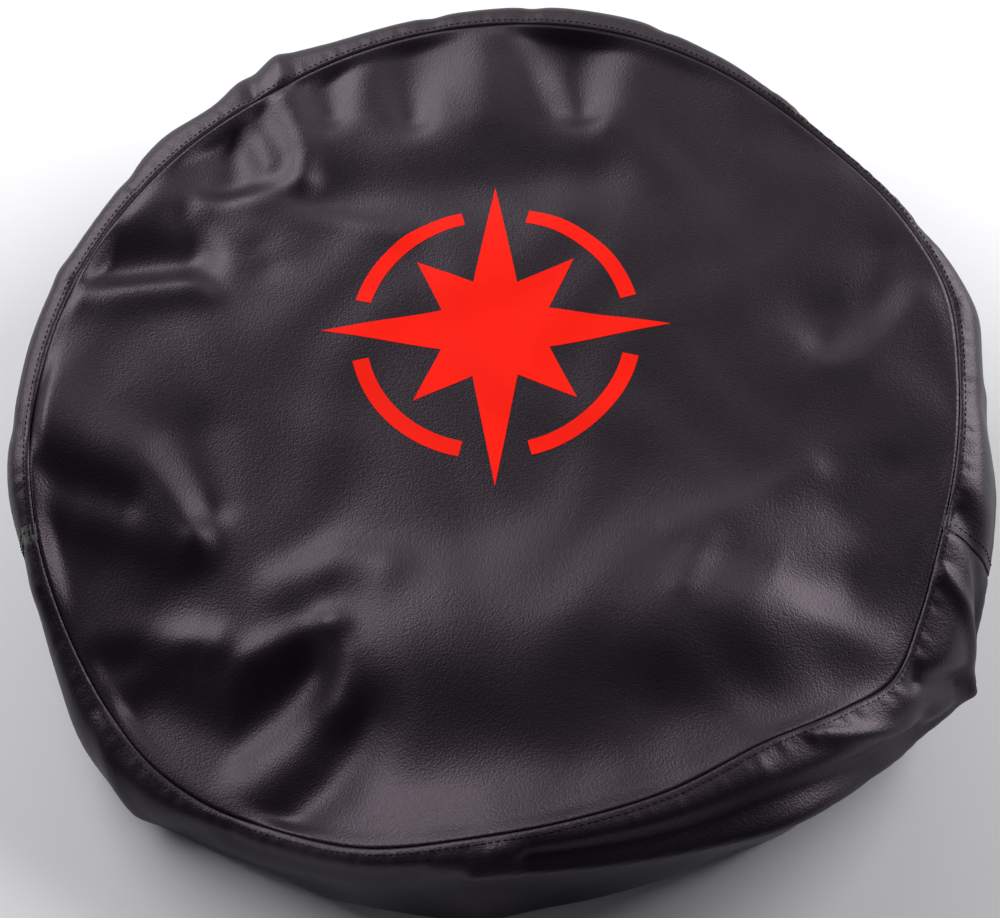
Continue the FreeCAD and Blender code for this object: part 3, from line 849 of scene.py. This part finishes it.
join_row("join_left_needle_stitches", JOIN_LEFT - 0.8, "join_left_needle_thread", False)
join_row("join_left_bobbin_stitches", JOIN_LEFT - 0.8, "join_left_bobbin_thread", True)
join_row("join_right_needle_stitches", JOIN_RIGHT + 0.8, "join_right_needle_thread", False)
join_row("join_right_bobbin_stitches", JOIN_RIGHT + 0.8, "join_right_bobbin_thread", True)


# Elastic: a flat knitted band, 6.5 by 1.5 mm, in the hem's tunnel. Its ends are lapped and tacked
# together with three turns of thread.
def knitted_elastic():
    """Black elastic: cords of rubber along it under a tight knit."""
    material, nodes, links, shader = new_material("black_elastic")
    tree = material.node_tree
    where = nodes.new("ShaderNodeTexCoord").outputs["Object"]
    knit = nodes.new("ShaderNodeTexVoronoi")
    knit.inputs["Scale"].default_value = 1400.0
    links.new(where, knit.inputs["Vector"])
    fuzz = noise(tree, where, 4000.0, 2.0)
    height = maths(tree, "ADD", knit.outputs["Distance"], maths(tree, "MULTIPLY", fuzz, 0.3))
    colour = nodes.new("ShaderNodeMix")
    colour.data_type = "RGBA"
    colour.inputs[6].default_value = (0.010, 0.010, 0.011, 1)
    colour.inputs[7].default_value = (0.050, 0.048, 0.050, 1)
    links.new(height, colour.inputs["Factor"])
    links.new(colour.outputs[2], shader.inputs["Base Color"])
    bump = nodes.new("ShaderNodeBump")
    bump.inputs["Distance"].default_value = 0.2 * MM
    links.new(height, bump.inputs["Height"])
    links.new(bump.outputs["Normal"], shader.inputs["Normal"])
    shader.inputs["Roughness"].default_value = 0.85
    shader.inputs["Sheen Weight"].default_value = 0.3
    return material


hem_end = to_space(sections[:, -1:])[:, 0]
ELASTIC_MIDDLE = 5.2 * MM
ELASTIC_LIFT = 2.05 * MM


def elastic_piece():
    """The band, one whole turn and a lap, with its edges rounded."""
    inward = np.stack([np.cos(CLOCK), np.sin(CLOCK), 0 * CLOCK], -1)
    turns = ANGLES + 5
    number = np.arange(turns) % ANGLES
    centre = hem_end[number] + inward[number] * ELASTIC_MIDDLE
    rise = np.zeros(turns)
    rise[-8:] = np.linspace(0, 1, 8) ** 2 * (3 - 2 * np.linspace(0, 1, 8)) * 1.0 * MM
    rise[:5] = -0.45 * MM
    centre[:, 2] += ELASTIC_LIFT + rise
    profile = [(-3.25, -0.25), (-2.9, -0.62), (0, -0.66), (2.9, -0.62), (3.25, -0.25),
               (3.25, 0.25), (2.9, 0.62), (0, 0.66), (-2.9, 0.62), (-3.25, 0.25)]
    rows = [centre + inward[number] * u * MM + np.array([0, 0, v * MM]) for u, v in profile]
    points = np.stack(rows, axis=1)
    wide = len(profile)
    faces = [(a * wide + b, a * wide + (b + 1) % wide, (a + 1) * wide + (b + 1) % wide, (a + 1) * wide + b)
             for a in range(turns - 1) for b in range(wide)]
    faces.append(tuple(range(wide)))
    faces.append(tuple((turns - 1) * wide + b for b in reversed(range(wide))))
    piece = mesh_object("elastic_loop", points.reshape(-1, 3), faces, [knitted_elastic()])
    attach(piece, "root")
    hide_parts("elastic_band")
    return piece


elastic_piece()


def tack_loops():
    """Three turns of thread round the lapped ends."""
    points, faces = [], []
    for k in range(1, 4):
        out = Vector((math.cos(CLOCK[k]), math.sin(CLOCK[k]), 0))
        ahead = Vector((-out.y, out.x, 0))
        centre = Vector(hem_end[k]) + out * 5.2 * MM + Vector((0, 0, 2.3 * MM))
        base = len(points)
        for step in range(24):
            angle = step * math.pi / 12
            across = out * (3.6 * MM * math.copysign(abs(math.cos(angle)) ** 0.5, math.cos(angle)))
            high = 1.45 * MM * math.copysign(abs(math.sin(angle)) ** 0.6, math.sin(angle))
            middle = centre + across + Vector((0, 0, high))
            away = (across + Vector((0, 0, high))).normalized()
            for i in range(6):
                turn = i * math.pi / 3
                points.append(middle + (away * math.cos(turn) + ahead * math.sin(turn)) * 0.25 * MM)
        for step in range(24):
            for i in range(6):
                a, b = base + step * 6, base + (step + 1) % 24 * 6
                faces.append((a + i, b + i, b + (i + 1) % 6, a + (i + 1) % 6))
    piece = mesh_object("tack_loops", points, faces, [thread_material])
    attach(piece, "root")
    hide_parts("elastic_tack_thread")
    return piece


tack_loops()


# The emblem: red film pressed on the face, an eight-pointed star inside a broken ring. The film is so
# thin that it takes every fold of the face, and the leatherette's grain shows faintly through it.
def red_film():
    """Red vinyl film, nearly matt, over the pebble grain."""
    material, nodes, links, shader = new_material("red_film")
    tree = material.node_tree
    grain = nodes.new("ShaderNodeGroup")
    grain.node_tree = grain_group
    colour = nodes.new("ShaderNodeMix")
    colour.data_type = "RGBA"
    colour.inputs[6].default_value = (0.80, 0.010, 0.003, 1)
    colour.inputs[7].default_value = (0.72, 0.009, 0.003, 1)
    links.new(maths(tree, "ADD", grain.outputs["Patches"], 0.35, clamp=True), colour.inputs["Factor"])
    links.new(colour.outputs[2], shader.inputs["Base Color"])
    rough = maths(tree, "ADD", maths(tree, "MULTIPLY", grain.outputs["Patches"], 0.05), 0.5)
    links.new(rough, shader.inputs["Roughness"])
    bump = nodes.new("ShaderNodeBump")
    bump.inputs["Distance"].default_value = 0.04 * MM
    bump.inputs["Strength"].default_value = 0.6
    links.new(grain.outputs["Height"], bump.inputs["Height"])
    links.new(bump.outputs["Normal"], shader.inputs["Normal"])
    shader.inputs["Specular IOR Level"].default_value = 0.06
    return material


film_material = red_film()
star_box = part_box("emblem_star")
EMBLEM_Y = (star_box[0][1] + star_box[1][1]) / 2
STAR_LONG = (star_box[1][0] - star_box[0][0]) / 2
STAR_SHORT = 70 / 108 * STAR_LONG
STAR_WAIST = 36 / 108 * STAR_LONG
RING_OUTSIDE = 90 / 108 * STAR_LONG
RING_INSIDE = 80 / 108 * STAR_LONG
RING_GAP = math.radians(14)
flat_tree = BVHTree.FromPolygons([tuple(p) for p in fine_flat], fine_faces)
laid_mesh_points = [Vector(p) for p in fine_laid]


def on_the_face(x, y, lift):
    """The place on the slack face, a little above its skin, of a point of the flat panel."""
    _, _, number, _ = flat_tree.ray_cast(Vector((x, y, 1)), Vector((0, 0, -1)))
    corners = fine_faces[number]
    flat_corners = [Vector(fine_flat[c]) for c in corners]
    laid_corners = [laid_mesh_points[c] for c in corners]
    point = Vector((x, y, 0))
    across = (flat_corners[1] - flat_corners[0] + flat_corners[2] - flat_corners[3]) / 2
    along = (flat_corners[3] - flat_corners[0] + flat_corners[2] - flat_corners[1]) / 2
    middle = sum(flat_corners, Vector()) / 4
    away = point - middle
    size = across.x * along.y - across.y * along.x
    u = min(max((away.x * along.y - away.y * along.x) / size + 0.5, 0), 1)
    v = min(max((across.x * away.y - across.y * away.x) / size + 0.5, 0), 1)
    low = laid_corners[0].lerp(laid_corners[1], u)
    high = laid_corners[3].lerp(laid_corners[2], u)
    normal = (laid_corners[2] - laid_corners[0]).cross(laid_corners[3] - laid_corners[1]).normalized()
    if normal.z < 0:
        normal = -normal
    return low.lerp(high, v) + normal * lift


def film_piece(name, node, grids):
    """Film cut to shape. Each grid is rows of flat points; it's laid on the face and given thickness."""
    points, faces = [], []
    for rows in grids:
        base = len(points)
        wide = len(rows[0])
        for row in rows:
            points += [on_the_face(x, y, 0.19 * MM) for x, y in row]
        for a in range(len(rows) - 1):
            for b in range(wide - 1):
                faces.append((base + a * wide + b, base + a * wide + b + 1,
                              base + (a + 1) * wide + b + 1, base + (a + 1) * wide + b))
    piece = mesh_object(name, points, faces, [film_material])
    joined = bmesh.new()
    joined.from_mesh(piece.data)
    bmesh.ops.remove_doubles(joined, verts=joined.verts, dist=0.00002)
    bmesh.ops.recalc_face_normals(joined, faces=joined.faces)
    if sum(f.normal.z for f in joined.faces) < 0:
        bmesh.ops.reverse_faces(joined, faces=joined.faces)
    joined.to_mesh(piece.data)
    joined.free()
    solid = piece.modifiers.new("thickness", "SOLIDIFY")
    solid.thickness = 0.15 * MM
    solid.offset = -1.0
    crisp_edges(piece)
    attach(piece, "root")
    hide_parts(node)
    return piece


def star_grid():
    """The star's outline carried in to its middle in even steps, as rows of flat points."""
    corners = []
    for number in range(16):
        reach = STAR_WAIST if number % 2 else (STAR_SHORT if number % 4 else STAR_LONG)
        angle = number * math.pi / 8
        corners.append((reach * math.cos(angle), reach * math.sin(angle)))
    outline = []
    for (ax, ay), (bx, by) in zip(corners, corners[1:] + corners[:1]):
        outline += [(ax + (bx - ax) * i / 12, ay + (by - ay) * i / 12) for i in range(12)]
    outline.append(outline[0])
    return [[(x * ring / 28, EMBLEM_Y + y * ring / 28) for x, y in outline] for ring in range(29)]


def ring_grids():
    """The four arcs of the broken ring, between the star's long points."""
    grids = []
    for quarter in range(4):
        first = quarter * math.pi / 2 + RING_GAP
        sweep = math.pi / 2 - 2 * RING_GAP
        rows = []
        for i in range(49):
            angle = first + sweep * i / 48
            rows.append([((RING_INSIDE + (RING_OUTSIDE - RING_INSIDE) * j / 5) * math.cos(angle),
                          EMBLEM_Y + (RING_INSIDE + (RING_OUTSIDE - RING_INSIDE) * j / 5) * math.sin(angle))
                         for j in range(6)])
        grids.append(rows)
    return grids


star_film = film_piece("emblem_star_film", "emblem_star", [star_grid()])
ring_film = film_piece("emblem_ring_film", "emblem_ring", ring_grids())


# Stage: a plain pale floor under three large soft lights, low at the back left, the back and the right,
# so that they glance off every fold, and a weak even light from all round.
floor_mesh = bmesh.new()
bmesh.ops.create_grid(floor_mesh, x_segments=1, y_segments=1, size=4.0)
floor_data = bpy.data.meshes.new("floor")
floor_mesh.to_mesh(floor_data)
floor_mesh.free()
floor = bpy.data.objects.new("floor", floor_data)
floor.location.z = -0.0005
bpy.context.collection.objects.link(floor)
floor_material, _, _, floor_shader = new_material("pale_floor")
floor_shader.inputs["Base Color"].default_value = (0.66, 0.66, 0.67, 1)
floor_shader.inputs["Roughness"].default_value = 0.9
floor_data.materials.append(floor_material)


def soft_light(name, place, aim, width, height, watts):
    """A large soft light."""
    data = bpy.data.lights.new(name, "AREA")
    data.shape = "RECTANGLE"
    data.size = width
    data.size_y = height
    data.energy = watts
    light = bpy.data.objects.new(name, data)
    light.location = place
    light.rotation_euler = (Vector(aim) - Vector(place)).to_track_quat("-Z", "Y").to_euler()
    bpy.context.collection.objects.link(light)


soft_light("key", (-1.38, 1.15, 1.30), (0, 0, 0.05), 2.0, 0.9, 58)
soft_light("back", (-0.05, 1.90, 1.10), (0, 0, 0.05), 2.4, 0.6, 11)
soft_light("right", (1.70, 0.98, 1.00), (0, 0, 0.05), 1.5, 0.9, 60)

world = bpy.data.worlds.new("studio")
world.use_nodes = True
world.node_tree.nodes["Background"].inputs["Color"].default_value = (0.9, 0.92, 1.0, 1)
world.node_tree.nodes["Background"].inputs["Strength"].default_value = 0.11
bpy.context.scene.world = world
bpy.context.scene.view_settings.view_transform = "Standard"

camera_data = bpy.data.cameras.new("camera")
camera_data.lens = 61.5
camera = bpy.data.objects.new("camera", camera_data)
aim = Vector((0.003, -0.048, 0.095))
tilt = math.radians(62)
camera.location = aim + Vector((0, -math.cos(tilt), math.sin(tilt)))
camera.rotation_euler = (math.pi / 2 - tilt, 0, 0)
bpy.context.collection.objects.link(camera)
bpy.context.scene.camera = camera
